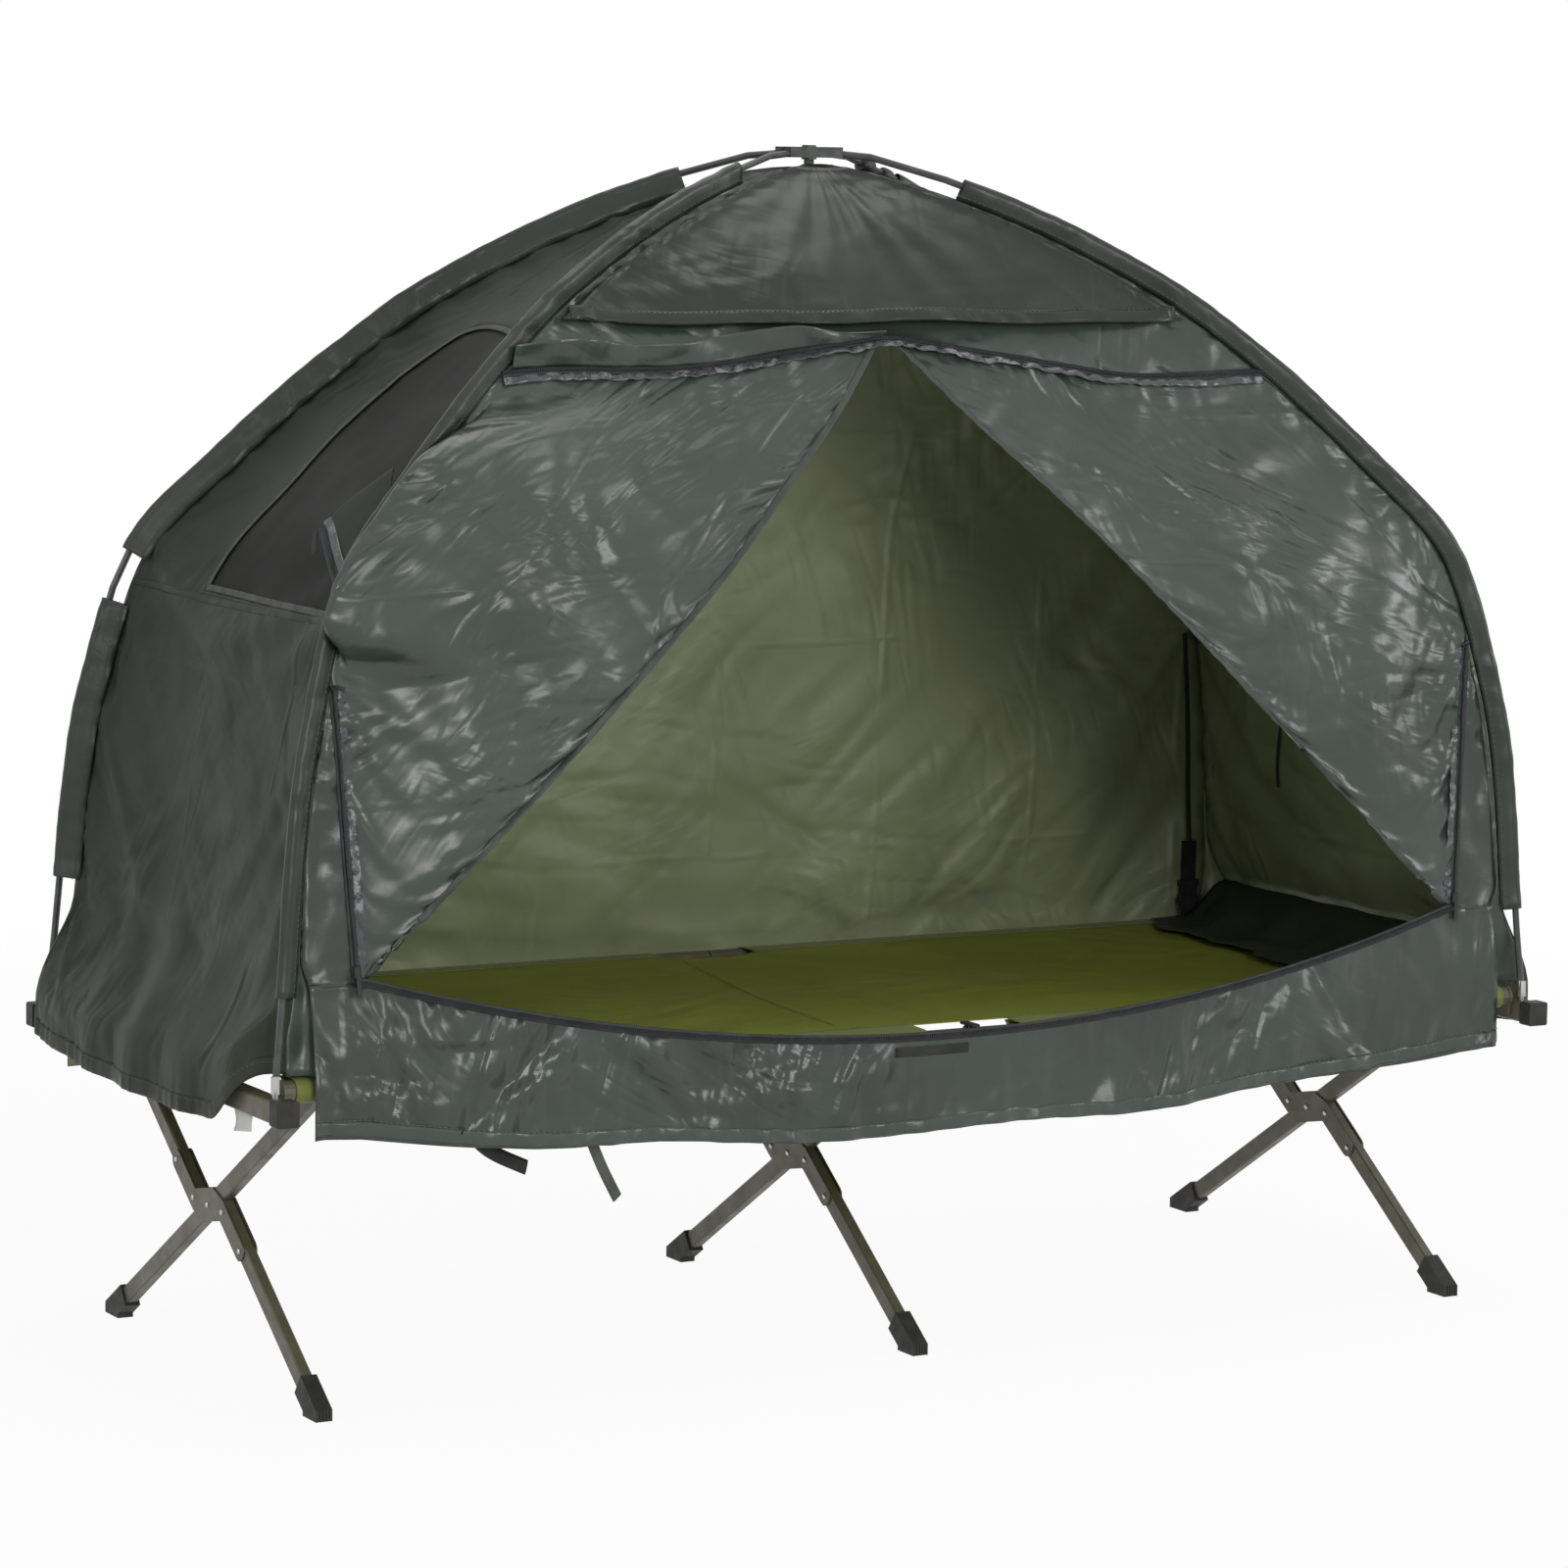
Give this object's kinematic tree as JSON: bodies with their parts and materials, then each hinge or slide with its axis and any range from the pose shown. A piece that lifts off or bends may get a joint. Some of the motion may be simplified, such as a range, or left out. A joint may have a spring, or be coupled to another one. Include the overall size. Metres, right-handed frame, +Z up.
{
  "type": "tent cot",
  "caption": "Folding camp bed on scissor leg pairs under an arched pole canopy with a split zip door and net windows.",
  "frame": {"origin": "on the floor, under the middle of the bed", "axes": "+X along the bed, -Y towards the door side, +Z up"},
  "size_m": [1.9698, 0.86, 1.6097],
  "materials": {
    "frame_paint": "semi-gloss taupe paint",
    "black_rubber": "matt black",
    "black_plastic": "matt black",
    "bed_cloth": "olive woven cloth",
    "canopy_cloth": "grey-green coated cloth",
    "door_cloth": "grey-green coated cloth with a sheen",
    "window_mesh": "fine black net",
    "fibreglass": "black fibreglass"
  },
  "bodies": {
    "bed_frame": {"bar_cap_back_left": "black_rubber", "bar_cap_back_right": "black_rubber", "bar_cap_front_left": "black_rubber", "bar_cap_front_right": "black_rubber", "bed_fabric": "bed_cloth", "end_bar_left": "frame_paint", "end_bar_right": "frame_paint", "leg_bracket_front_left": "frame_paint", "leg_bracket_front_middle": "frame_paint", "leg_bracket_front_right": "frame_paint", "rail_front_left": "frame_paint", "rail_front_right": "frame_paint", "rail_link_front": "frame_paint"},
    "long_legs": {"foot_back_left": "black_rubber", "foot_back_middle": "black_rubber", "foot_back_right": "black_rubber", "leg_long_left": "frame_paint", "leg_long_middle": "frame_paint", "leg_long_right": "frame_paint"},
    "split_legs": {"foot_front_left": "black_rubber", "foot_front_middle": "black_rubber", "foot_front_right": "black_rubber", "leg_split_lower_left": "frame_paint", "leg_split_lower_middle": "frame_paint", "leg_split_lower_right": "frame_paint", "leg_split_upper_left": "frame_paint", "leg_split_upper_middle": "frame_paint", "leg_split_upper_right": "frame_paint", "pivot_plates_left": "frame_paint", "pivot_plates_middle": "frame_paint", "pivot_plates_right": "frame_paint"},
    "back_rail": {"bed_sleeve_back": "bed_cloth", "leg_bracket_back_left": "frame_paint", "leg_bracket_back_middle": "frame_paint", "leg_bracket_back_right": "frame_paint", "rail_back_left": "frame_paint", "rail_back_right": "frame_paint", "rail_link_back": "frame_paint"},
    "tent": {"canopy_brow": "canopy_cloth", "canopy_front_upper": "canopy_cloth", "canopy_wall_back": "canopy_cloth", "canopy_wall_left": "canopy_cloth", "canopy_wall_right": "canopy_cloth", "corner_buckle": "black_plastic", "door_flap_left": "door_cloth", "door_flap_right": "door_cloth", "front_sill": "door_cloth", "hub": "black_plastic", "pole_back_left": "fibreglass", "pole_back_right": "fibreglass", "pole_front_left": "fibreglass", "pole_front_right": "fibreglass", "sleeve_back_left": "canopy_cloth", "sleeve_back_right": "canopy_cloth", "sleeve_front_left": "canopy_cloth", "sleeve_front_right": "canopy_cloth", "window_mesh_left": "window_mesh", "window_mesh_right": "window_mesh"},
    "zip_slider_left": {"zip_slider_left": "black_plastic"},
    "zip_slider_right": {"zip_slider_right": "black_plastic"}
  },
  "joints": [
    {"name": "leg_fold", "type": "hinge", "parent": "bed_frame", "child": "long_legs", "pos_m": [0, -0.337, 0.4208], "axis": [-1, 0, 0], "range_deg": [0, 52], "deforming": ["bed_fabric"]},
    {"name": "scissor_pivot", "type": "hinge", "parent": "long_legs", "child": "split_legs", "pos_m": [0, 0, 0.215], "axis": [-1, 0, 0], "range_deg": [-105, 0]},
    {"name": "back_rail_hinge", "type": "hinge", "parent": "split_legs", "child": "back_rail", "pos_m": [0, 0.337, 0.4208], "axis": [-1, 0, 0], "range_deg": [0, 53]},
    {"name": "tent_lift", "type": "slide", "parent": "bed_frame", "child": "tent", "axis": [0, 0, 1], "range_m": [0, 0.04]},
    {"name": "zip_pull_left", "type": "slide", "parent": "tent", "child": "zip_slider_left", "axis": [-0.0651, 0.0598, 0.9961], "range_m": [0, 0.346]},
    {"name": "zip_pull_right", "type": "slide", "parent": "tent", "child": "zip_slider_right", "axis": [0.0651, 0.0598, 0.9961], "range_m": [0, 0.346]}
  ],
  "couplings": [
    {"joint": "scissor_pivot", "follows": "leg_fold", "ratio": -2},
    {"joint": "back_rail_hinge", "follows": "leg_fold", "ratio": 1}
  ]
}
